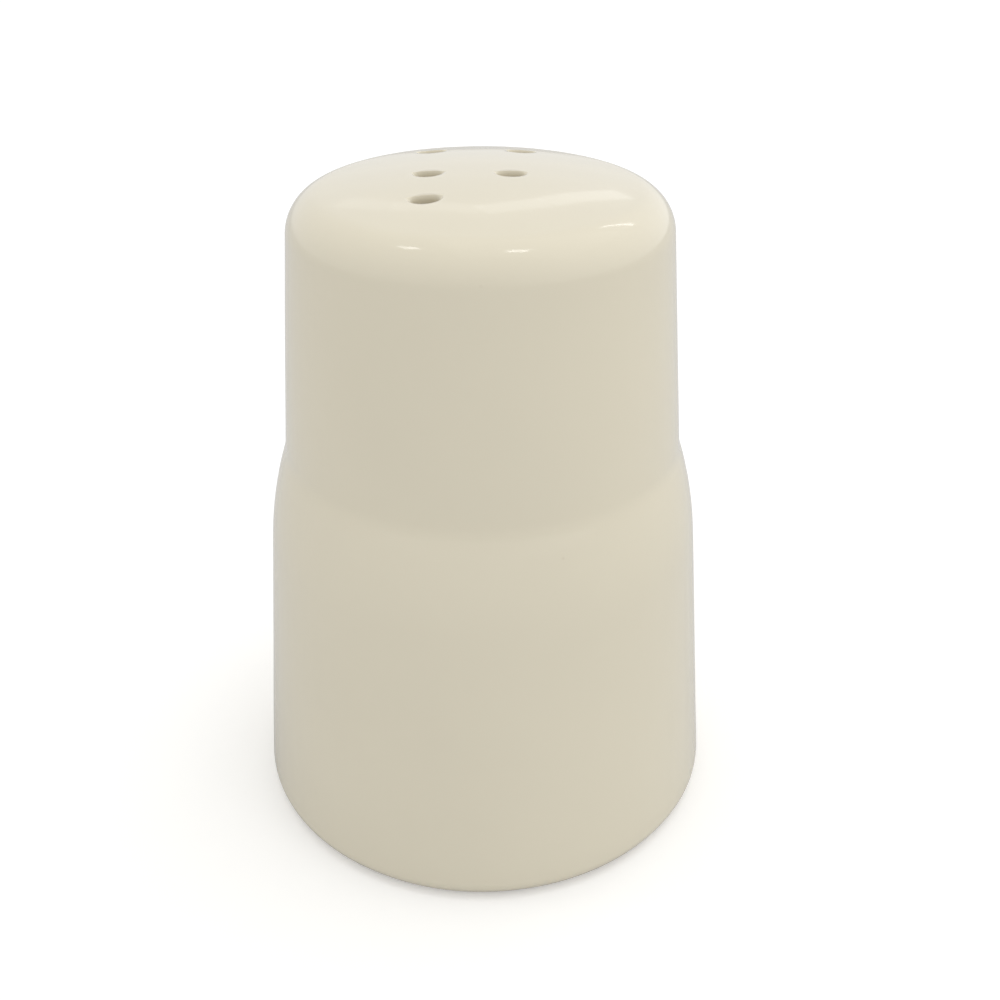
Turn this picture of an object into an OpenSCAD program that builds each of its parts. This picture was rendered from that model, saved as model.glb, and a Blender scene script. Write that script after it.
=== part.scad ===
// Condiment shaker: a one-piece glazed ceramic shell that pours through a pattern of small
// holes in its crown, and a soft stopper pushed up into the filling hole in its base.
// Origin at the middle of the foot, +Z up, front towards -Y.

/* [Shell] */
// Largest diameter, just above the rounded bottom edge
body_d = 54; // [52:0.5:58]
// Height from the table to the top of the crown
body_h = 73.2; // [70:0.2:80]
// Radius of the rounded bottom edge
bottom_round_r = 2; // [1.5:0.1:3]
// Lean of the lower wall, in degrees from upright
lower_draft = 5.2; // [4:0.1:6]
// Height at which the lower wall starts to curve in
shoulder_z = 33.4; // [31:0.2:35]
// Diameter of the crease where the shoulder meets the upper wall
neck_d = 43.6; // [42:0.1:44]
// Height of the crease
neck_z = 44; // [43:0.1:46]
// Lean of the upper wall, in degrees from upright
upper_draft = 4.9; // [4:0.1:6]
// Radius of the edge between the upper wall and the crown
crown_round_r = 4.4; // [4:0.1:6]
// Radius of the shallow dome of the crown
dome_r = 93; // [80:1:120]
// Thickness of the cast wall
wall_t = 3.8; // [3:0.1:4.5]
// Thickness of the floor above the recess in the base
floor_t = 4; // [3.5:0.1:5]
// Radius inside, where the wall meets the floor
cavity_round_r = 4; // [2:0.5:5]

/* [Pouring holes] */
// Diameter of each pouring hole
pour_d = 2.6; // [2:0.1:3.2]
// Depth of the softened rim of a pouring hole
pour_rim = 0.4; // [0.2:0.05:0.5]
// Sideways place of the row of three holes on the left
left_x = -5.2; // [-6:0.1:-4]
// Places of those three holes from front to back
left_y = [-7.7, 0.1, 11.7]; // [-12:0.1:12]
// Sideways places of the two hand-punched holes on the right, front one first
right_x = [3.1, 4.4]; // [3:0.1:6]
// Places of those two holes from front to back
right_y = [-0.4, 11.3]; // [-12:0.1:12]

/* [Base] */
// Depth of the recess in the base
recess_h = 3.2; // [3:0.1:4]
// Diameter of the recess in the base
recess_d = 40; // [36:0.5:42]
// Diameter of the filling hole
fill_d = 17.5; // [17:0.5:20]
// Bevel on both edges of the filling hole
fill_bevel = 0.5; // [0.2:0.1:0.8]

/* [Stopper] */
// Diameter of the stopper's flange
flange_d = 22.5; // [21:0.5:25]
// Thickness of the flange
flange_t = 1.4; // [1:0.1:1.6]
// Gap between the flange and the roof of the recess
seat_gap = 0.1; // [0.05:0.05:0.2]
// Radial gap between the sealing ribs and the filling hole
rib_gap = 0.05; // [0.02:0.01:0.1]
// How far each sealing rib stands out of the plug
rib_h = 0.3; // [0.2:0.05:0.5]
// Height of each sealing rib
rib_w = 0.8; // [0.6:0.1:1]
// Number of sealing ribs
rib_count = 3; // [2:1:4]
// Distance from one sealing rib to the next
rib_pitch = 2; // [1.6:0.1:2.4]
// Height of the plug above the flange
plug_h = 9.8; // [9:0.2:12]
// Radius at the closed end of the plug
plug_end_r = 7.3; // [6.8:0.1:7.8]
// Thickness of the plug's wall
plug_t = 1.2; // [0.8:0.1:1.6]
// Width of the pull tab on the flange
tab_w = 7; // [5:0.5:9]
// Distance from the axis to the end of the pull tab
tab_reach = 13.4; // [12.5:0.1:16]

/* [Hidden] */
$fn = 96;
// Length by which a cut runs past the face that it opens
cut = 1;
// Steps along each arc of the shell's outline
arc_steps = 12;

body_r = body_d / 2;
neck = [neck_d / 2, neck_z];
fill_r = fill_d / 2;
floor_z = recess_h + floor_t;

// Unit vector at an angle above the horizontal
function facing(a) = [cos(a), sin(a)];
// Points along an arc about c, from angle a0 to angle a1
function arc(c, r, a0, a1, steps = arc_steps) =
    [for (i = [0:steps]) c + r * facing(a0 + (a1 - a0) * i / steps)];

// Lower wall: tangent to the bottom edge, leaning in by lower_draft
bottom_c = [body_r - bottom_round_r, bottom_round_r];
lower_foot = bottom_c + bottom_round_r * facing(lower_draft);
shoulder = [lower_foot[0] - (shoulder_z - lower_foot[1]) * tan(lower_draft), shoulder_z];

// Shoulder: the one arc that leaves the lower wall smoothly and ends at the crease
drop = shoulder - neck;
shoulder_r = (drop * drop) / (2 * drop * facing(lower_draft));
shoulder_c = shoulder - shoulder_r * facing(lower_draft);
neck_lean = atan2(neck[1] - shoulder_c[1], neck[0] - shoulder_c[0]);

// Crown edge: an arc that touches both the upper wall and the dome
dome_c = [0, body_h - dome_r];
climb = [-sin(upper_draft), cos(upper_draft)];
climb_from = neck - crown_round_r * facing(upper_draft) - dome_c;
along = climb_from * climb;
reach = pow(dome_r - crown_round_r, 2) - climb_from * climb_from;
crown_c = dome_c + climb_from + (sqrt(along * along + reach) - along) * climb;
dome_edge = atan2(crown_c[1] - dome_c[1], crown_c[0]);

// Outline of the shell from the bottom edge up to the top, moved inwards by inset
function upper_outline(inset) = concat(
    arc(shoulder_c, shoulder_r - inset, lower_draft, neck_lean),
    inset > 0 ? arc(neck, -inset, neck_lean, upper_draft, 3) : [],
    arc(crown_c, crown_round_r - inset, upper_draft, dome_edge),
    arc(dome_c, dome_r - inset, dome_edge, 90));

cavity_c = [body_r - wall_t - cavity_round_r, floor_z + cavity_round_r];

module outer_form() {
    rotate_extrude()
        polygon(concat([[0, 0]], arc(bottom_c, bottom_round_r, -90, lower_draft),
                       upper_outline(0)));
}

module cavity() {
    rotate_extrude()
        polygon(concat([[0, floor_z]], arc(cavity_c, cavity_round_r, -90, lower_draft),
                       upper_outline(wall_t)));
}

// A pouring hole through the crown, upright, with its rim opened out by the glaze
module pour_hole(x, y) {
    top_z = dome_c[1] + sqrt(dome_r * dome_r - x * x - y * y);
    translate([x, y, top_z - wall_t - cut])
        cylinder(d = pour_d, h = wall_t + 2 * cut);
    translate([x, y, top_z - pour_rim])
        cylinder(d1 = pour_d, d2 = pour_d + 4 * pour_rim, h = 2 * pour_rim);
}

module filling_hole() {
    translate([0, 0, recess_h - cut]) cylinder(r = fill_r, h = floor_t + 2 * cut);
    translate([0, 0, recess_h - fill_bevel])
        cylinder(r1 = fill_r + 2 * fill_bevel, r2 = fill_r, h = 2 * fill_bevel);
    translate([0, 0, floor_z - fill_bevel])
        cylinder(r1 = fill_r, r2 = fill_r + 2 * fill_bevel, h = 2 * fill_bevel);
}

module shaker_body() {
    color("ivory")
    difference() {
        outer_form();
        cavity();
        translate([0, 0, -cut]) cylinder(d = recess_d, h = recess_h + cut);
        filling_hole();
        for (y = left_y) pour_hole(left_x, y);
        for (i = [0:1]) pour_hole(right_x[i], right_y[i]);
    }
}

flange_top = recess_h - seat_gap;
flange_bottom = flange_top - flange_t;
rib_r = fill_r - rib_gap;
plug_r = rib_r - rib_h;
first_rib_z = flange_top + rib_w;

// Wall of the plug: straight past its ribs, then tapering to its closed end
module plug() {
    taper_z = first_rib_z + rib_count * rib_pitch - rib_w;
    translate([0, 0, flange_bottom]) cylinder(r = plug_r, h = taper_z - flange_bottom);
    translate([0, 0, taper_z])
        cylinder(r1 = plug_r, r2 = plug_end_r, h = flange_top + plug_h - taper_z);
    for (i = [0:rib_count - 1])
        translate([0, 0, first_rib_z + i * rib_pitch]) cylinder(r = rib_r, h = rib_w);
}

module pull_tab() {
    intersection() {
        translate([0, -tab_w / 2, flange_bottom]) cube([tab_reach + cut, tab_w, flange_t]);
        translate([0, 0, flange_bottom]) cylinder(r = tab_reach, h = flange_t);
    }
}

module stopper() {
    color("whitesmoke")
    difference() {
        union() {
            translate([0, 0, flange_bottom]) cylinder(d = flange_d, h = flange_t);
            pull_tab();
            plug();
        }
        translate([0, 0, flange_bottom - cut])
            cylinder(r1 = plug_r - plug_t, r2 = plug_end_r - plug_t,
                     h = cut + flange_t + plug_h - plug_t);
    }
}

shaker_body();
stopper();
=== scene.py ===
import math
import bmesh
import bpy
from mathutils import Matrix, Vector


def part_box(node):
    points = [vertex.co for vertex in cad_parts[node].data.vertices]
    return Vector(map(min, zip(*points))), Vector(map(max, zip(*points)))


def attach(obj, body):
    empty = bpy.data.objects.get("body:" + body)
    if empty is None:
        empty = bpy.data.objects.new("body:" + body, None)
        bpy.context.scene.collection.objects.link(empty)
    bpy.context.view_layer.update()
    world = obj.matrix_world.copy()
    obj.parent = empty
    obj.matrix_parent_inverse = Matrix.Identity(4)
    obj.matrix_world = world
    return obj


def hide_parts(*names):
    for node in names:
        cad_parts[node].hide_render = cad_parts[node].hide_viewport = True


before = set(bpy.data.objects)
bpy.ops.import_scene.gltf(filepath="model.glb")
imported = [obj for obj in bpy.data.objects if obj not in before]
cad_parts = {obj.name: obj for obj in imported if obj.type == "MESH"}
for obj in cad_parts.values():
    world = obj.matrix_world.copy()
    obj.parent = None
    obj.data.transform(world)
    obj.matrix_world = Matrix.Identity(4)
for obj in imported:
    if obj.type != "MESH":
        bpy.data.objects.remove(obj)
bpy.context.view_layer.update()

# %% [markdown]
# A one-piece ceramic shaker, seen from in front and a little above.
# It is slip-cast stoneware under a glossy ivory glaze: a lower wall that leans in, a soft
# shoulder, a crease, an upper wall and a shallow domed crown with five punched pouring holes.
# Underneath there is a recess with a filling hole, and a soft stopper pushed up into it.
#
# Both pieces are turned forms, so both are made the way a potter or a lathe makes them: an
# outline is drawn from the axis outwards and spun once round. Everything is in metres, and
# the origin is the middle of the foot, on the table.

# %% Sizes
MM = 0.001
shell_low, shell_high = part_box("shaker_body")
stopper_low, stopper_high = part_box("stopper")
BODY_R = (shell_high.x - shell_low.x) / 2
BODY_H = shell_high.z - shell_low.z
BOTTOM_ROUND = 2 * MM
LOWER_LEAN = 5.2  # degrees
SHOULDER_Z = 33.4 * MM
NECK_R = 21.8 * MM
NECK_Z = 44 * MM
NECK_FILLET = 7 * MM
UPPER_LEAN = 4.9  # degrees
CROWN_ROUND = 4.4 * MM
DOME_R = 93 * MM
WALL = 3.8 * MM
RECESS_H = 3.2 * MM
RECESS_R = 20 * MM
FLOOR_Z = 7.2 * MM
FILL_R = 8.75 * MM
POUR_R = 1.3 * MM
POUR_PLACES = [(-5.2, -7.7), (-5.2, 0.1), (-5.2, 11.7), (3.1, -0.4), (4.4, 11.3)]  # mm
print("shell radius and height, mm:", round(BODY_R / MM, 2), round(BODY_H / MM, 2))
print("stopper from", round(stopper_low.z / MM, 2), "to", round(stopper_high.z / MM, 2))

# %% [markdown]
# The camera stands close, in front of the shaker and above it, and looks down at it.
# Close up, the base is seen more steeply than the crown, and the whole form tapers towards
# the bottom of the picture more than the real walls do.

# %% Camera
CAMERA_BACK = 119.2 * MM
CAMERA_UP = 104.6 * MM
CAMERA_DOWN_TILT = 30.12
CAMERA_TURN = 0.93
CAMERA_ROLL = -0.08
LENS = 43.07
camera_data = bpy.data.cameras.new("camera")
camera_data.lens = LENS
camera_data.sensor_width = 36
camera_data.clip_start = 1 * MM
camera = bpy.data.objects.new("camera", camera_data)
bpy.context.scene.collection.objects.link(camera)
camera.matrix_world = (
    Matrix.Translation((0, -CAMERA_BACK, CAMERA_UP))
    @ Matrix.Rotation(math.radians(-CAMERA_TURN), 4, "Z")
    @ Matrix.Rotation(math.radians(90 - CAMERA_DOWN_TILT), 4, "X")
    @ Matrix.Rotation(math.radians(CAMERA_ROLL), 4, "Z")
)
bpy.context.scene.camera = camera
print("camera at, mm:", [round(v / MM, 1) for v in camera.matrix_world.translation])

# %% [markdown]
# Outlines. A turned form needs only half a section: a chain of straight lines and arcs from
# the axis round to the axis again. Each arc is worked out from its centre and radius, so the
# walls meet the arcs without a kink wherever the real wall is smooth.

# %% Arcs and the chain of points
def facing(degrees):
    a = math.radians(degrees)
    return Vector((math.cos(a), math.sin(a)))


def arc(centre, radius, start, end, steps):
    turn = (end - start) / steps
    return [Vector(centre) + radius * facing(start + turn * i) for i in range(steps + 1)]


def line(start, end, steps):
    a, b = Vector(start), Vector(end)
    return [a.lerp(b, i / steps) for i in range(1, steps)]


# %% [markdown]
# The shell's outside. The shoulder is the one arc that leaves the lower wall smoothly and
# ends at the crease. The crown's edge is the arc that touches both the upper wall and the
# dome. The crease is filled with a small arc, because glaze gathers in a hollow corner.

# %% Shell outline
bottom_c = Vector((BODY_R - BOTTOM_ROUND, BOTTOM_ROUND))
wall_foot = bottom_c + BOTTOM_ROUND * facing(LOWER_LEAN)
rise = SHOULDER_Z - wall_foot.y
shoulder = Vector((wall_foot.x - rise * math.tan(math.radians(LOWER_LEAN)), SHOULDER_Z))
neck = Vector((NECK_R, NECK_Z))
drop = shoulder - neck
shoulder_r = drop.length_squared / (2 * drop.dot(facing(LOWER_LEAN)))
shoulder_c = shoulder - shoulder_r * facing(LOWER_LEAN)
neck_lean = math.degrees(math.atan2(neck.y - shoulder_c.y, neck.x - shoulder_c.x))
dome_c = Vector((0, BODY_H - DOME_R))
climb = facing(UPPER_LEAN + 90)
climb_from = neck - CROWN_ROUND * facing(UPPER_LEAN) - dome_c
along = climb_from.dot(climb)
reach = (DOME_R - CROWN_ROUND) ** 2 - climb_from.length_squared
crown_c = dome_c + climb_from + (math.sqrt(along * along + reach) - along) * climb
dome_edge = math.degrees(math.atan2(crown_c.y - dome_c.y, crown_c.x))
print("shoulder leans", round(neck_lean, 1), "degrees at the crease")
print("crown edge starts at height", round(crown_c.y / MM, 2), "mm")


# %% Crease fillet
# An outside arc that touches the shoulder's arc below and the upper wall above.
fillet_from = neck + NECK_FILLET * facing(UPPER_LEAN) - shoulder_c
slide = fillet_from.dot(climb)
span = (shoulder_r + NECK_FILLET) ** 2 - fillet_from.length_squared
fillet_c = shoulder_c + fillet_from + (math.sqrt(slide * slide + span) - slide) * climb
to_fillet = fillet_c - shoulder_c
fillet_start = math.degrees(math.atan2(to_fillet.y, to_fillet.x))
upper_foot = fillet_c - NECK_FILLET * facing(UPPER_LEAN)
upper_top = crown_c + CROWN_ROUND * facing(UPPER_LEAN)
outside = (
    arc(dome_c, DOME_R, 90, dome_edge, 30)
    + arc(crown_c, CROWN_ROUND, dome_edge, UPPER_LEAN, 18)[1:]
    + line(upper_top, upper_foot, 14)
    + arc(fillet_c, NECK_FILLET, 180 + UPPER_LEAN, 180 + fillet_start, 6)
    + arc(shoulder_c, shoulder_r, fillet_start, LOWER_LEAN, 14)[1:]
    + line(shoulder, wall_foot, 18)
    + arc(bottom_c, BOTTOM_ROUND, LOWER_LEAN, -90, 12)
)
print("outside of the shell:", len(outside), "points")

# %% [markdown]
# The underside: a flat foot ring with softened edges, a recess that keeps the stopper off
# the table, and the filling hole, whose edges were sponged round before firing.
# The inside follows the outside at the thickness of the cast wall.

# %% Underside, filling hole and inside
FOOT_SOFT = 0.9 * MM
RECESS_CORNER = 1.6 * MM
RIM_SOFT = 0.6 * MM
CAVITY_ROUND = 4 * MM
foot_c = (RECESS_R + FOOT_SOFT, FOOT_SOFT)
corner_c = (RECESS_R - RECESS_CORNER, RECESS_H - RECESS_CORNER)
underside = (
    line((bottom_c.x, 0), (foot_c[0], 0), 6)
    + arc(foot_c, FOOT_SOFT, 270, 180, 8)
    + arc(corner_c, RECESS_CORNER, 0, 90, 8)
    + line((corner_c[0], RECESS_H), (FILL_R + RIM_SOFT, RECESS_H), 8)
)
hole = arc((FILL_R + RIM_SOFT, RECESS_H + RIM_SOFT), RIM_SOFT, 270, 180, 7) + arc(
    (FILL_R + RIM_SOFT, FLOOR_Z - RIM_SOFT), RIM_SOFT, 180, 90, 7
)
cavity_c = Vector((BODY_R - WALL - CAVITY_ROUND, FLOOR_Z + CAVITY_ROUND))
inside = (
    line((FILL_R + RIM_SOFT, FLOOR_Z), (cavity_c.x, FLOOR_Z), 8)
    + arc(cavity_c, CAVITY_ROUND, -90, LOWER_LEAN, 9)
    + arc(shoulder_c, shoulder_r - WALL, LOWER_LEAN, neck_lean, 8)
    + arc(neck, -WALL, neck_lean, UPPER_LEAN, 3)[1:]
    + arc(crown_c, CROWN_ROUND - WALL, UPPER_LEAN, dome_edge, 6)
    + arc(dome_c, DOME_R - WALL, dome_edge, 90, 18)[1:]
)
print("underside, hole and inside:", len(underside), len(hole), len(inside), "points")

# %% [markdown]
# Turning. A small plane is merged to one vertex, which is moved to the outline's first point
# and extruded from point to point. The chain is then spun round the axis, the copies at
# the poles and at the seam are merged, and the normals are worked out again.

# %% Drawing and spinning an outline
WELD = 0.002 * MM


def nothing_selected():
    if bpy.context.object and bpy.context.object.mode != "OBJECT":
        bpy.ops.object.mode_set(mode="OBJECT")
    bpy.ops.object.select_all(action="DESELECT")


def drawn(name, outline):
    nothing_selected()
    bpy.ops.mesh.primitive_plane_add(size=MM, location=(0, 0, 0))
    piece = bpy.context.object
    piece.name = piece.data.name = name
    bpy.ops.object.mode_set(mode="EDIT")
    bpy.ops.mesh.select_all(action="SELECT")
    bpy.ops.mesh.merge(type="CENTER")
    pen = Vector((0, 0))
    for i, point in enumerate(outline):
        step = (point[0] - pen.x, 0, point[1] - pen.y)
        if i == 0:
            bpy.ops.transform.translate(value=step)
        else:
            bpy.ops.mesh.extrude_region_move(TRANSFORM_OT_translate={"value": step})
        pen = Vector(point)
    return piece


def turned(name, outline, steps):
    piece = drawn(name, outline)
    bpy.ops.mesh.select_all(action="SELECT")
    bpy.ops.mesh.spin(steps=steps, angle=2 * math.pi, center=(0, 0, 0), axis=(0, 0, 1))
    bpy.ops.mesh.select_all(action="SELECT")
    bpy.ops.mesh.remove_doubles(threshold=WELD)
    bpy.ops.mesh.normals_make_consistent(inside=False)
    bpy.ops.object.mode_set(mode="OBJECT")
    print(name, "turned:", len(piece.data.vertices), "vertices")
    return piece


shell = turned("glazed_shell", outside + underside + hole + inside, 168)

# %% [markdown]
# Slip-cast ware is never quite true: the clay moves a little as it dries and the glaze lies a
# little thicker here and there. A Displace modifier on a soft cloud texture pushes the
# surface in by a few hundredths of a millimetre. It never pushes out, so the shell stays
# within its real size, and it is enough to make the reflections wander.

# %% Slight unevenness of the casting
UNEVEN_SIZE = 16 * MM
UNEVEN_DEPTH = 0.09 * MM


def applied(piece, modifier):
    nothing_selected()
    piece.select_set(True)
    bpy.context.view_layer.objects.active = piece
    bpy.ops.object.modifier_apply(modifier=modifier.name)


def displaced(piece, size, depth, middle):
    clouds = bpy.data.textures.new(piece.name + "_unevenness", "CLOUDS")
    clouds.noise_scale = size
    clouds.noise_depth = 1
    push = piece.modifiers.new("unevenness", "DISPLACE")
    push.texture = clouds
    push.texture_coords = "LOCAL"
    push.strength = depth
    push.mid_level = middle
    applied(piece, push)


displaced(shell, UNEVEN_SIZE, UNEVEN_DEPTH, 1.0)
print("shell box after unevenness, mm:", [round(v / MM, 3) for v in shell.dimensions])

# %% [markdown]
# The pouring holes are punched while the clay is soft, one at a time by hand, so no two are
# quite alike, and the glaze rounds their rims. Each hole is cut with a spool: a pin with a
# flare at each end, whose flare leaves a rounded rim behind. One spool is turned, and each
# copy has its own mesh, slightly out of round, set square to the dome. Boolean modifiers
# take them out of the crown.

# %% Cutting spool
OUTER_RIM = 0.75 * MM
INNER_RIM = 0.5 * MM
RIM_LIFT = 0.008 * MM
SPOOL_END = 0.7 * MM
flare_x = POUR_R + OUTER_RIM
inner_x = POUR_R + INNER_RIM
inner_z = INNER_RIM - WALL - RIM_LIFT
cut_end = -WALL - SPOOL_END
spool_outline = (
    [(0, SPOOL_END), (flare_x, SPOOL_END)]
    + arc((flare_x, RIM_LIFT - OUTER_RIM), OUTER_RIM, 90, 180, 10)
    + line((POUR_R, RIM_LIFT - OUTER_RIM), (POUR_R, inner_z), 6)
    + arc((inner_x, inner_z), INNER_RIM, 180, 270, 8)
    + [(inner_x, cut_end), (0, cut_end)]
)
spool = turned("punch_spool", spool_outline, 48)

# %% Selecting by place


def picked(piece, kind, test):
    bpy.ops.mesh.select_mode(type={"verts": "VERT", "edges": "EDGE"}[kind])
    bpy.ops.mesh.select_all(action="DESELECT")
    edited = bmesh.from_edit_mesh(piece.data)
    for part in getattr(edited, kind):
        middle = part.co if kind == "verts" else (part.verts[0].co + part.verts[1].co) / 2
        part.select = test(middle)
    edited.select_flush_mode()
    bmesh.update_edit_mesh(piece.data)


# %% Punching the holes
# Width, depth, flattening of the far side and turn in degrees of each hole
PUNCH_SHAPES = [
    (1.02, 0.92, 0.4, 4),
    (0.97, 0.96, 0.35, -4),
    (0.97, 0.92, 0.45, 6),
    (0.98, 0.9, 0.4, 5),
    (0.95, 0.9, 0.5, -8),
]
punches = []
for i, (x, y) in enumerate(POUR_PLACES):
    wide, deep, flat, turn = PUNCH_SHAPES[i]
    place = Vector((x * MM, y * MM, 0))
    tilt = math.asin(place.length / DOME_R)
    swing = math.atan2(place.y, place.x)
    nothing_selected()
    spool.select_set(True)
    bpy.context.view_layer.objects.active = spool
    bpy.ops.object.duplicate(linked=False)
    punch = bpy.context.object
    punch.name = f"punch_{i}"
    bpy.ops.object.mode_set(mode="EDIT")
    picked(punch, "verts", lambda m: m.y > WELD)
    bpy.ops.transform.resize(value=(1, flat, 1), center_override=(0, 0, 0))
    bpy.ops.object.mode_set(mode="OBJECT")
    punch.data.transform(
        Matrix.Translation((0, 0, dome_c.y))
        @ Matrix.Rotation(swing, 4, "Z")
        @ Matrix.Rotation(tilt, 4, "Y")
        @ Matrix.Translation((0, 0, DOME_R))
        @ Matrix.Rotation(math.radians(turn) - swing, 4, "Z")
        @ Matrix.Diagonal((wide, deep, 1, 1))
        @ Matrix.Translation((0, POUR_R * (1 - flat) / 2, 0))
    )
    cut = shell.modifiers.new(f"hole_{i}", "BOOLEAN")
    cut.operation = "DIFFERENCE"
    cut.solver = "EXACT"
    cut.object = punch
    applied(shell, cut)
    punches.append(punch)
for tool in punches + [spool]:
    bpy.data.objects.remove(tool)
print("shell after punching:", len(shell.data.polygons), "faces")

# %% [markdown]
# The stopper is injection-moulded from soft, milky plastic. A flange closes the hole, three
# rounded ribs seal against the fired clay, and the closed end is hollow from below so that
# the plug can give. It is turned like the shell, with every edge a little round, as a mould
# leaves it. The small nub in the hollow is where the plastic was injected.

# %% Stopper outline
FLANGE_TOP = 3.1 * MM
FLANGE_BOTTOM = 1.7 * MM
FLANGE_R = 11.25 * MM
PLUG_R = 8.4 * MM
RIB_R = 8.7 * MM
RIB_HALF = 0.4 * MM
RIB_PLACES = [4.3 * MM, 6.3 * MM, 8.3 * MM]
TAPER_Z = 9.1 * MM
PLUG_TOP = 12.9 * MM
END_R = 7.3 * MM
END_ROUND = 0.8 * MM
PLUG_T = 1.2 * MM
EDGE_SOFT = 0.4 * MM
NUB_R = 0.6 * MM
NUB_H = 0.35 * MM
NUB_TIP_R = 0.42 * MM
NUB_SIDE = 0.21 * MM
roof_z = PLUG_TOP - PLUG_T
mouth_r = PLUG_R - PLUG_T
roof_r = END_R - PLUG_T
taper = (PLUG_R - END_R) / (PLUG_TOP - TAPER_Z)
end_lean = math.degrees(math.atan(taper))
end_z = PLUG_TOP - END_ROUND
end_x = PLUG_R - (end_z - TAPER_Z) * taper - END_ROUND / math.cos(math.atan(taper))
rib_bend = (RIB_HALF**2 + (RIB_R - PLUG_R) ** 2) / (2 * (RIB_R - PLUG_R))
rib_spread = math.degrees(math.asin(RIB_HALF / rib_bend))
hollow = (
    [(0, roof_z - NUB_H), (NUB_TIP_R, roof_z - NUB_H), (NUB_R, roof_z - NUB_SIDE)]
    + line((NUB_R, roof_z), (roof_r - EDGE_SOFT, roof_z), 6)
    + arc((roof_r - EDGE_SOFT, roof_z - EDGE_SOFT), EDGE_SOFT, 75, 10, 4)
    + line((roof_r, roof_z - EDGE_SOFT), (mouth_r, FLANGE_BOTTOM + EDGE_SOFT), 8)
    + arc((mouth_r + EDGE_SOFT, FLANGE_BOTTOM + EDGE_SOFT), EDGE_SOFT, 195, 270, 5)
)
flange = (
    arc((FLANGE_R - EDGE_SOFT, FLANGE_BOTTOM + EDGE_SOFT), EDGE_SOFT, -90, 0, 5)
    + arc((FLANGE_R - EDGE_SOFT, FLANGE_TOP - EDGE_SOFT), EDGE_SOFT, 0, 90, 5)
    + arc((PLUG_R + EDGE_SOFT, FLANGE_TOP + EDGE_SOFT), EDGE_SOFT, 270, 180, 5)
)
ribs = []
for z in RIB_PLACES:
    ribs += arc((RIB_R - rib_bend, z), rib_bend, -rib_spread, rib_spread, 7)
plug_end = [(PLUG_R, TAPER_Z)] + arc((end_x, end_z), END_ROUND, end_lean, 90, 7) + [(0, PLUG_TOP)]
stopper = turned("stopper_plug", hollow + flange + ribs + plug_end, 112)
print("each rib stands out", round((RIB_R - PLUG_R) / MM, 2), "mm")

# %% [markdown]
# The pull tab sticks out of the flange so that a fingernail can lift it. It starts as a box:
# the two outer corners are beveled round, then the rims, and three small grip ridges are
# joined on below.

# %% Adding and joining blocks


def block(name, low, high):
    nothing_selected()
    middle = (Vector(low) + Vector(high)) / 2
    size = Vector(high) - Vector(low)
    bpy.ops.mesh.primitive_cube_add(size=1, location=middle, scale=size)
    bpy.ops.object.transform_apply(location=True, rotation=True, scale=True)
    piece = bpy.context.object
    piece.name = piece.data.name = name
    return piece


def joined(piece, other):
    union = piece.modifiers.new("union", "BOOLEAN")
    union.operation = "UNION"
    union.solver = "EXACT"
    union.object = other
    applied(piece, union)
    bpy.data.objects.remove(other)


# %% Pull tab
TAB_FROM = 8.7 * MM
TAB_REACH = 13.4 * MM
TAB_HALF = 3.5 * MM
TAB_CORNER = 2.6 * MM
TAB_SOFT = 0.35 * MM
tab = block("pull_tab", (TAB_FROM, -TAB_HALF, FLANGE_BOTTOM), (TAB_REACH, TAB_HALF, FLANGE_TOP))
bpy.ops.object.mode_set(mode="EDIT")
flange_mid = (FLANGE_BOTTOM + FLANGE_TOP) / 2
picked(tab, "edges", lambda m: m.x > TAB_REACH - WELD and abs(m.y) > TAB_HALF - WELD)
bpy.ops.mesh.bevel(offset=TAB_CORNER, segments=9, affect="EDGES")
rim_off = FLANGE_TOP - flange_mid - WELD
picked(tab, "edges", lambda m: m.x > TAB_FROM + WELD and abs(m.z - flange_mid) > rim_off)
bpy.ops.mesh.bevel(offset=TAB_SOFT, segments=4, affect="EDGES")
bpy.ops.object.mode_set(mode="OBJECT")
RIDGE_H = 0.3 * MM
RIDGE_HALF_W = 0.22 * MM
RIDGE_HALF_L = 2.1 * MM
RIDGE_SOFT = 0.198 * MM
RIDGE_PLACES = [11.9 * MM, 12.45 * MM, 13.0 * MM]
for x in RIDGE_PLACES:
    half_l = RIDGE_HALF_L - (x - RIDGE_PLACES[0])
    low = (x - RIDGE_HALF_W, -half_l, FLANGE_BOTTOM - RIDGE_H)
    high = (x + RIDGE_HALF_W, half_l, flange_mid)
    ridge = block("grip_ridge", low, high)
    bpy.ops.object.mode_set(mode="EDIT")
    picked(ridge, "edges", lambda m: m.z < FLANGE_BOTTOM - RIDGE_H + WELD)
    bpy.ops.mesh.bevel(offset=RIDGE_SOFT, segments=3, affect="EDGES")
    bpy.ops.object.mode_set(mode="OBJECT")
    joined(tab, ridge)
joined(stopper, tab)
print("stopper box, mm:", [round(v / MM, 2) for v in stopper.dimensions])

# %% [markdown]
# Shading. Both pieces are smooth forms with a few real corners, so faces are shaded smooth
# wherever neighbours meet at a small angle. Each piece then rides on its CAD body and stands
# in for its CAD node.

# %% Shading and the frame
SMOOTH_UP_TO = math.radians(40)
for piece, body, node, slot in (
    (shell, "shaker", "shaker_body", "glazed_shell"),
    (stopper, "plug", "stopper", "stopper_plastic"),
):
    nothing_selected()
    piece.select_set(True)
    bpy.context.view_layer.objects.active = piece
    bpy.ops.object.shade_smooth_by_angle(angle=SMOOTH_UP_TO)
    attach(piece, body)
    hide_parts(node)
    print(piece.name, "rides on", body)

# %% [markdown]
# Finishes. Both pieces show the same few things at different scales: a colour that drifts a
# little, a surface that isn't quite flat, and the fine scuffs of handling. Each of these is a
# node group, made once and used in both materials with its own values. A group gives out
# only masks, colours and heights; the shader itself stays in each material.

# %% Placing and wiring nodes


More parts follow.
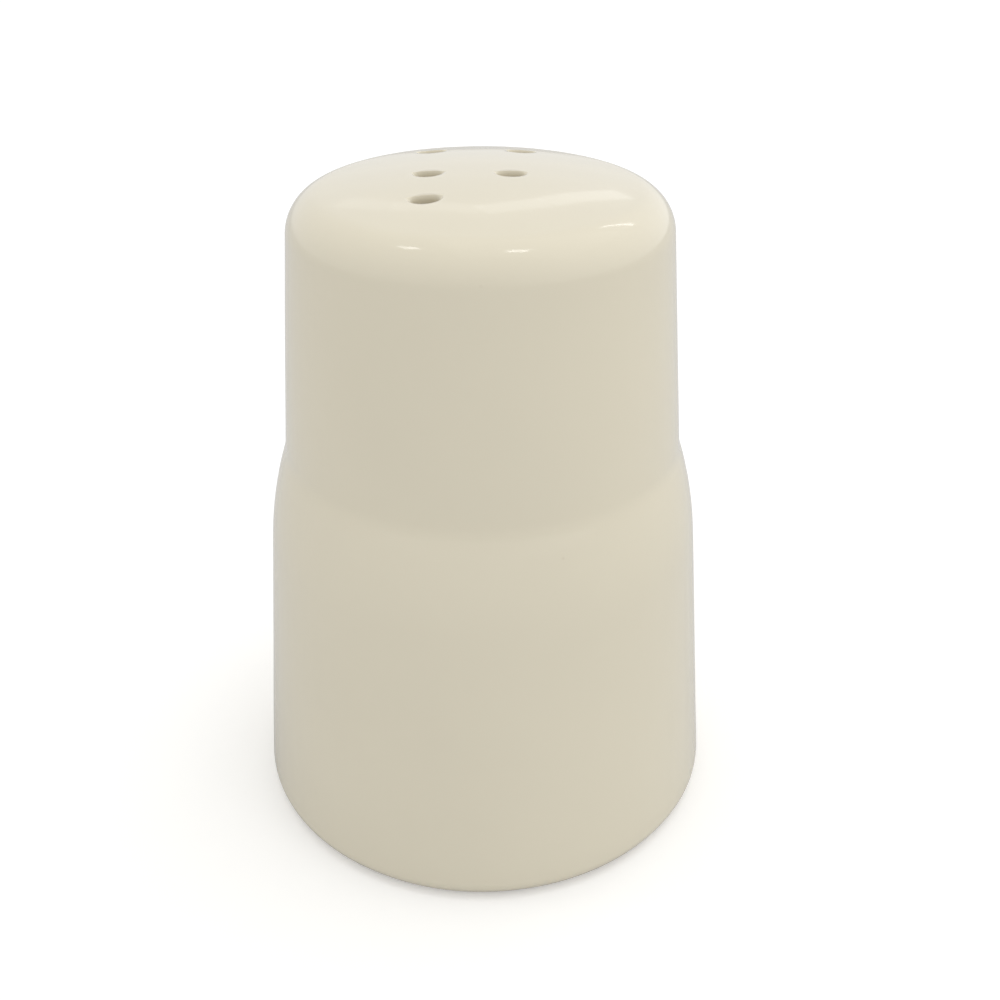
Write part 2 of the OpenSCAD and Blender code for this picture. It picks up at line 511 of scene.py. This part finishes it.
def wired(tree, kind, inputs, **settings):
    made = tree.nodes.new(kind)
    for name, value in settings.items():
        setattr(made, name, value)
    for socket, value in inputs.items():
        if isinstance(value, bpy.types.NodeSocket):
            tree.links.new(value, made.inputs[socket])
        else:
            made.inputs[socket].default_value = value
    return made


def blended(tree, mask, below, above):
    mix = wired(tree, "ShaderNodeMix", {0: mask, 6: below, 7: above}, data_type="RGBA")
    return mix.outputs[2]


def ranged(tree, value, low, high, to_low=0.0, to_high=1.0):
    inputs = {"Value": value, "From Min": low, "From Max": high, "To Min": to_low, "To Max": to_high}
    made = wired(tree, "ShaderNodeMapRange", inputs, interpolation_type="SMOOTHSTEP")
    return made.outputs["Result"]


def noisy(tree, vector, scale, detail=2.0):
    inputs = {"Vector": vector, "Scale": scale, "Detail": detail}
    return wired(tree, "ShaderNodeTexNoise", inputs).outputs[0]


def worked(tree, operation, first, second=0.0):
    return wired(tree, "ShaderNodeMath", {0: first, 1: second}, operation=operation).outputs[0]


def finish_group(name, inputs, output, kind):
    group = bpy.data.node_groups.new(name, "ShaderNodeTree")
    for socket, socket_kind, value in inputs:
        made = group.interface.new_socket(name=socket, in_out="INPUT", socket_type=socket_kind)
        if value is not None:
            made.default_value = value
    group.interface.new_socket(name=output, in_out="OUTPUT", socket_type=kind)
    return group, group.nodes.new("NodeGroupInput").outputs, group.nodes.new("NodeGroupOutput").inputs


# %% Group: a colour that drifts
drift, given, out = finish_group(
    "colour_drift",
    [
        ("Vector", "NodeSocketVector", None),
        ("Color", "NodeSocketColor", (1, 1, 1, 1)),
        ("Scale", "NodeSocketFloat", 60),
        ("Depth", "NodeSocketFloat", 0.02),
    ],
    "Color",
    "NodeSocketColor",
)
clouds = noisy(drift, given["Vector"], given["Scale"])
lighter = worked(drift, "ADD", 1.0, given["Depth"])
darker = worked(drift, "SUBTRACT", 1.0, given["Depth"])
drifting = ranged(drift, clouds, 0.3, 0.7, darker, lighter)
tinted = wired(drift, "ShaderNodeHueSaturation", {"Value": drifting, "Color": given["Color"]})
drift.links.new(tinted.outputs["Color"], out["Color"])
print("group", drift.name, "made")

# %% Group: a surface that isn't quite flat
ripple, given, out = finish_group(
    "surface_ripple",
    [
        ("Vector", "NodeSocketVector", None),
        ("Broad", "NodeSocketFloat", 120),
        ("Fine", "NodeSocketFloat", 900),
        ("Fine Share", "NodeSocketFloat", 0.2),
    ],
    "Height",
    "NodeSocketFloat",
)
broad = noisy(ripple, given["Vector"], given["Broad"], 1)
fine = noisy(ripple, given["Vector"], given["Fine"], 1)
fine_part = worked(ripple, "MULTIPLY", fine, given["Fine Share"])
ripple.links.new(worked(ripple, "ADD", broad, fine_part), out["Height"])
print("group", ripple.name, "made")

# %% Group: scuffs of handling
scuff, given, out = finish_group(
    "handling_scuffs",
    [("Vector", "NodeSocketVector", None), ("Scale", "NodeSocketFloat", 150)],
    "Mask",
    "NodeSocketFloat",
)
drawn_out = wired(scuff, "ShaderNodeMapping", {"Vector": given["Vector"], "Scale": (1, 1, 7)})
drawn_out.inputs["Rotation"].default_value = (0.5, 0.9, 0.2)
lines = {"Vector": drawn_out.outputs[0], "Scale": given["Scale"], "Detail": 3, "Distortion": 0.4}
scuff_noise = wired(scuff, "ShaderNodeTexNoise", lines)
patches = noisy(scuff, given["Vector"], 45)
line_mask = ranged(scuff, scuff_noise.outputs[0], 0.56, 0.72)
patch_mask = ranged(scuff, patches, 0.42, 0.66)
scuff.links.new(worked(scuff, "MULTIPLY", line_mask, patch_mask), out["Mask"])
print("group", scuff.name, "made")

# %% Using a group


def with_group(tree, group, inputs):
    return wired(tree, "ShaderNodeGroup", inputs, node_tree=group).outputs[0]


def new_finish(name):
    material = bpy.data.materials.new(name)
    material.use_nodes = True
    tree = material.node_tree
    tree.nodes.clear()
    place = tree.nodes.new("ShaderNodeTexCoord").outputs["Object"]
    parts = wired(tree, "ShaderNodeSeparateXYZ", {0: place}).outputs
    shader = tree.nodes.new("ShaderNodeBsdfPrincipled")
    wired(tree, "ShaderNodeOutputMaterial", {"Surface": shader.outputs[0]})
    return material, tree, place, parts, shader


# %% [markdown]
# The glaze. Fired ivory glaze is glass over a pale clay: it lies thick and a little deeper in
# colour where it gathers in the crease, and thin and pale where it pulls away from the rims
# of the holes. Inside the holes the colour is darker: partly glaze that pools there, partly
# painted shade in the holes. A few faint iron specks show in it. The foot ring is wiped clean
# before firing, or the piece would stick to the kiln shelf, so bare clay shows there, with a
# thin band of painted shadow above it, where the foot stands on the floor.

# %% Ivory glaze: where it gathers, where it thins, and painted shade in the holes
glaze, tree, place, xyz, shader = new_finish("ivory_glaze")
IVORY = (0.797, 0.742, 0.596, 1)
GATHERED = (0.765, 0.705, 0.545, 1)
THIN = (0.82, 0.78, 0.66, 1)
# The darker colour inside the holes is partly pooled glaze, partly painted shade.
POOLED_AND_SHADED = (0.64, 0.585, 0.46, 1)
CREASE_Z = NECK_Z + 0.6 * MM
GATHER_FAR = 3.2 * MM
GATHER_NEAR = 0.4 * MM
GATHER_SHARE = 0.08
THIN_SHARE = 0.15
HOLE_SHADE_SHARE = 0.5
waver = noisy(tree, place, 170)
crease_way = worked(tree, "ABSOLUTE", worked(tree, "SUBTRACT", xyz[2], CREASE_Z))
crease = ranged(tree, crease_way, GATHER_FAR, GATHER_NEAR, 0, GATHER_SHARE)
nearest = None
for x, y in POUR_PLACES:
    axis = wired(tree, "ShaderNodeCombineXYZ", {0: xyz[0], 1: xyz[1], 2: 0.0}).outputs[0]
    centre = (x * MM, y * MM, 0)
    apart = wired(tree, "ShaderNodeVectorMath", {0: axis, 1: centre}, operation="DISTANCE")
    away = apart.outputs["Value"]
    nearest = away if nearest is None else worked(tree, "MINIMUM", nearest, away)
rim_outside = ranged(tree, nearest, POUR_R + 0.9 * MM, POUR_R + 0.35 * MM)
rim_inside = ranged(tree, nearest, POUR_R, POUR_R + 0.25 * MM)
on_crown = ranged(tree, xyz[2], BODY_H - 3 * MM, BODY_H - 2.2 * MM)
rim = worked(tree, "MULTIPLY", worked(tree, "MULTIPLY", rim_outside, rim_inside), on_crown)
colour = with_group(tree, drift, {"Vector": place, "Color": IVORY, "Scale": 55, "Depth": 0.008})
colour = blended(tree, crease, colour, GATHERED)
# Painted shade: the inside of each pouring hole is darkened, partly for glaze that pools there,
# partly for the shade that falls in the hole.
hole_shade_fade = ranged(tree, nearest, POUR_R + 0.3 * MM, POUR_R, 0, HOLE_SHADE_SHARE)
hole_shade_mask = worked(tree, "MULTIPLY", hole_shade_fade, on_crown)
colour = blended(tree, hole_shade_mask, colour, POOLED_AND_SHADED)
colour = blended(tree, worked(tree, "MULTIPLY", rim, THIN_SHARE), colour, THIN)
print("pouring holes with a glazed rim:", len(POUR_PLACES))

# %% Ivory glaze: specks, the bare foot and a painted shadow above it
SPECK = (0.4, 0.3, 0.19, 1)
CLAY = (0.72, 0.655, 0.55, 1)
# A darker brown, painted as the shadow just above the foot.
FOOT_SHADOW_TONE = (0.5, 0.4, 0.28, 1)
SPECK_CELLS = 260
SPECK_SHARE = 0.12
cells = wired(tree, "ShaderNodeTexVoronoi", {"Vector": place, "Scale": SPECK_CELLS})
lot = wired(tree, "ShaderNodeSeparateColor", {0: cells.outputs["Color"]}).outputs[0]
chosen = ranged(tree, lot, 0.93, 0.97)
dot = ranged(tree, cells.outputs["Distance"], 0.08, 0.03, 0, SPECK_SHARE)
speck = worked(tree, "MULTIPLY", dot, chosen)
colour = blended(tree, speck, colour, SPECK)
FOOT_LINE = 0.7 * MM
FOOT_SHADOW_SHARE = 0.3
foot_height = worked(tree, "ADD", xyz[2], worked(tree, "MULTIPLY", waver, 0.3 * MM))
bare = ranged(tree, foot_height, FOOT_LINE + 0.14 * MM, FOOT_LINE)
# Painted shadow: a thin darker band just above the bare foot, where the shaker stands on the floor.
foot_shadow_band = ranged(tree, foot_height, FOOT_LINE + 0.5 * MM, FOOT_LINE + 0.1 * MM, 0, FOOT_SHADOW_SHARE)
colour = blended(tree, foot_shadow_band, colour, FOOT_SHADOW_TONE)
clay_colour = with_group(tree, drift, {"Vector": place, "Color": CLAY, "Scale": 420, "Depth": 0.07})
colour = blended(tree, bare, colour, clay_colour)
tree.links.new(colour, shader.inputs["Base Color"])
print("specks about", round(1000 / SPECK_CELLS, 1), "mm apart before most are left out")

# %% Ivory glaze: gloss and surface
scuffs = with_group(tree, scuff, {"Vector": place, "Scale": 130})
GLOSSY = 0.17
SCUFFED = 0.22
BARE_ROUGH = 0.85
GLAZE_COAT = 0.8
gloss = ranged(tree, scuffs, 0, 1, GLOSSY, SCUFFED)
roughness = wired(tree, "ShaderNodeMix", {0: bare, 2: gloss, 3: BARE_ROUGH}).outputs[0]
tree.links.new(roughness, shader.inputs["Roughness"])
tree.links.new(ranged(tree, bare, 0, 1, GLAZE_COAT, 0), shader.inputs["Coat Weight"])
shader.inputs["Coat Roughness"].default_value = 0.06
shader.inputs["Coat IOR"].default_value = 1.4
shader.inputs["IOR"].default_value = 1.45
shader.inputs["Specular IOR Level"].default_value = 0.15
skin = with_group(tree, ripple, {"Vector": place, "Broad": 110, "Fine": 700, "Fine Share": 0.1})
grit = noisy(tree, place, 3200)
height = wired(tree, "ShaderNodeMix", {0: bare, 2: skin, 3: grit}).outputs[0]
bump = wired(tree, "ShaderNodeBump", {"Strength": 1.0, "Distance": 0.03 * MM, "Height": height})
tree.links.new(bump.outputs[0], shader.inputs["Normal"])
shell.data.materials.clear()
shell.data.materials.append(glaze)
print(glaze.name, "has", len(tree.nodes), "nodes")

# %% [markdown]
# The stopper's plastic is soft and milky: light goes a little way into it, and it has a satin
# skin from the mould. Round the injection nub the plastic is slightly clearer, dust
# clings to the ribs, and the flange is scuffed by fingers and by the table.

# %% Milky plastic
plastic, tree, place, xyz, shader = new_finish("milky_plastic")
MILKY = (0.72, 0.725, 0.69, 1)
CLEARER = (0.63, 0.64, 0.605, 1)
DUSTY = (0.64, 0.61, 0.53, 1)
flat_place = wired(tree, "ShaderNodeCombineXYZ", {0: xyz[0], 1: xyz[1], 2: 0.0}).outputs[0]
spread = wired(tree, "ShaderNodeVectorMath", {0: flat_place}, operation="LENGTH")
from_axis = spread.outputs["Value"]
colour = with_group(tree, drift, {"Vector": place, "Color": MILKY, "Scale": 150, "Depth": 0.025})
near_nub = ranged(tree, from_axis, 3.4 * MM, 0.6 * MM, 0, 0.6)
colour = blended(tree, near_nub, colour, CLEARER)
scuffs = with_group(tree, scuff, {"Vector": place, "Scale": 260})
flange_only = ranged(tree, xyz[2], FLANGE_TOP + 0.4 * MM, FLANGE_TOP)
on_ribs = ranged(tree, xyz[2], FLANGE_TOP, FLANGE_TOP + 1.2 * MM, 0.25, 0.8)
dusty = worked(tree, "MULTIPLY", scuffs, on_ribs)
colour = blended(tree, dusty, colour, DUSTY)
tree.links.new(colour, shader.inputs["Base Color"])
satin = ranged(tree, worked(tree, "MULTIPLY", scuffs, flange_only), 0, 1, 0.4, 0.62)
tree.links.new(satin, shader.inputs["Roughness"])
shader.inputs["IOR"].default_value = 1.5
shader.inputs["Subsurface Weight"].default_value = 0.35
shader.inputs["Subsurface Radius"].default_value = (1.0, 0.95, 0.8)
shader.inputs["Subsurface Scale"].default_value = 1.2 * MM
skin = with_group(tree, ripple, {"Vector": place, "Broad": 260, "Fine": 2600, "Fine Share": 0.35})
bump = wired(tree, "ShaderNodeBump", {"Strength": 1.0, "Distance": 0.03 * MM, "Height": skin})
tree.links.new(bump.outputs[0], shader.inputs["Normal"])
stopper.data.materials.clear()
stopper.data.materials.append(plastic)
print(plastic.name, "has", len(tree.nodes), "nodes")

# %% [markdown]
# The floor is a plain pale sheet. It moves with the stopper: when the stopper is pulled,
# the sheet goes down with it, and the shell reads as lifted off its plug. From below the
# sheet is see-through, so that the foot and the stopper can be looked at from underneath.
# To the eye it glows a little, as the lit table under small wares in a studio does, but it
# throws back only part of that light, so the walls of the shaker keep their own tone.

# %% Floor
FLOOR_SIZE = 6.0
SHEET_GLOW = 0.22
SHEET_BOUNCE = (0.66, 0.66, 0.66, 1)
SHEET_COLOUR = (0.9, 0.9, 0.895, 1)
nothing_selected()
bpy.ops.mesh.primitive_plane_add(size=FLOOR_SIZE, location=(0, 0, 0))
floor = bpy.context.object
floor.name = floor.data.name = "pale_floor"
sheet = bpy.data.materials.new("pale_sheet")
sheet.use_nodes = True
tree = sheet.node_tree
tree.nodes.clear()
matt = wired(tree, "ShaderNodeBsdfDiffuse", {"Color": SHEET_COLOUR})
glow = wired(tree, "ShaderNodeEmission", {"Color": (1, 1, 1, 1), "Strength": SHEET_GLOW})
lit_sheet = wired(tree, "ShaderNodeAddShader", {0: matt.outputs[0], 1: glow.outputs[0]})
bounce = wired(tree, "ShaderNodeBsdfDiffuse", {"Color": SHEET_BOUNCE})
clear = tree.nodes.new("ShaderNodeBsdfTransparent")
path = tree.nodes.new("ShaderNodeLightPath").outputs
to_eye = {0: path["Is Camera Ray"], 1: bounce.outputs[0], 2: lit_sheet.outputs[0]}
from_above = wired(tree, "ShaderNodeMixShader", to_eye).outputs[0]
backfacing = tree.nodes.new("ShaderNodeNewGeometry").outputs["Backfacing"]
passed = worked(tree, "GREATER_THAN", path["Transparent Depth"], 0.5)
seen_below = worked(tree, "MAXIMUM", backfacing, passed)
either = wired(tree, "ShaderNodeMixShader", {0: seen_below, 1: from_above, 2: clear.outputs[0]})
wired(tree, "ShaderNodeOutputMaterial", {"Surface": either.outputs[0]})
floor.data.materials.append(sheet)
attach(floor, "plug")
print("floor", FLOOR_SIZE, "m across")

# %% [markdown]
# Light. A pale room gives most of it: a little brighter at the ceiling than at the walls,
# brightest on the right, with some extra on the left and low down behind, so that both edges
# of the shaker stand out. The eye itself sees the room as plain white. Light from below
# matters only where the floor is see-through.

# %% World
WALL_LIGHT = 0.71
CEILING_LIGHT = 0.83
BACK_LIGHT = 0.13
RIGHT_LIGHT = 0.45
LEFT_LIGHT = 0.2
BELOW_LIGHT = 0.4
RIGHT_RISE = 0.2
ROOM_COLOUR = (1, 0.995, 0.985, 1)
world = bpy.data.worlds.new("white_room")
bpy.context.scene.world = world
world.use_nodes = True
tree = world.node_tree
tree.nodes.clear()
seen = tree.nodes.new("ShaderNodeLightPath").outputs["Is Camera Ray"]
wall = wired(tree, "ShaderNodeBackground", {"Color": (1, 1, 1, 1), "Strength": 1.0})
way = tree.nodes.new("ShaderNodeTexCoord").outputs["Generated"]
way = wired(tree, "ShaderNodeSeparateXYZ", {0: way}).outputs
height = worked(tree, "ADD", way[2], worked(tree, "MULTIPLY", way[0], RIGHT_RISE))
strength = ranged(tree, height, -0.1, 1.0, WALL_LIGHT, CEILING_LIGHT)
low = ranged(tree, way[2], 0.55, 0.1, 0, BACK_LIGHT)
extras = [
    worked(tree, "MULTIPLY", low, ranged(tree, way[1], 0.4, 1.0)),
    ranged(tree, way[0], 0.1, 1.0, 0, RIGHT_LIGHT),
    ranged(tree, way[0], -0.3, -1.0, 0, LEFT_LIGHT),
    ranged(tree, way[2], -0.03, -0.4, 0, BELOW_LIGHT),
]
for extra in extras:
    strength = worked(tree, "ADD", strength, extra)
room = wired(tree, "ShaderNodeBackground", {"Color": ROOM_COLOUR, "Strength": strength})
both = wired(tree, "ShaderNodeMixShader", {0: seen, 1: room.outputs[0], 2: wall.outputs[0]})
wired(tree, "ShaderNodeOutputWorld", {"Surface": both.outputs[0]})
bpy.context.scene.view_settings.view_transform = "Standard"
print("room light at walls and ceiling:", WALL_LIGHT, CEILING_LIGHT)

# %% [markdown]
# Lamps. A soft box above lifts the crown, and three small lamps near the ceiling leave the
# short bright streaks on its rounded edge. A lamp is placed by the way it lies from the
# crown, and its brightness is given for each patch of its face, so a bigger lamp gives more
# light without looking brighter in the glaze.

# %% Lamps
AIM = Vector((0, 0, 70 * MM))


def lamp(name, way, distance, width, height, brightness, along=(1, 0, 0)):
    light = bpy.data.lights.new(name, "AREA")
    light.shape = "RECTANGLE"
    light.size = width
    light.size_y = height
    light.energy = brightness * math.pi * width * height
    made = bpy.data.objects.new(name, light)
    bpy.context.scene.collection.objects.link(made)
    back = Vector(way).normalized()
    across = (Vector(along) - back.dot(Vector(along)) * back).normalized()
    faced = Matrix((across, back.cross(across), back)).transposed()
    made.matrix_world = Matrix.Translation(AIM + distance * back) @ faced.to_4x4()
    made.visible_camera = False


def toward(azimuth, elevation):
    a, e = math.radians(azimuth), math.radians(elevation)
    return Vector((math.sin(a) * math.cos(e), math.cos(a) * math.cos(e), math.sin(e)))


lamp("soft_box", (0.3, 0.1, 1), 1.1, 1.1, 1.1, 0.2)
lamp("streak_left", (-0.386, 0.07, 0.92), 0.6, 0.065, 0.06, 6)
lamp("streak_middle", (0.21, -0.07, 0.97), 0.6, 0.085, 0.06, 7)
lamp("streak_right", (0.49, 0.615, 0.617), 0.6, 0.17, 0.022, 4, along=(0.85, -0.28, -0.45))

# %% [markdown]
# A low arch of dim lamps stands behind the shaker. Its mirror image is the pale curved band
# that crosses the crown.

# %% Arch of light behind
ARCH = [(-14, 21), (-9.5, 27), (0, 30.5), (7, 26.5), (13.5, 18)]
ARCH_BRIGHT = [0.24, 0.32, 0.5, 0.5]
ARCH_AWAY = 0.9
ARCH_W = 0.045
for i, bright in enumerate(ARCH_BRIGHT):
    start, end = toward(*ARCH[i]), toward(*ARCH[i + 1])
    long = ARCH_AWAY * (end - start).length
    lamp(f"arch_{i}", start + end, ARCH_AWAY, long, ARCH_W, bright, along=end - start)
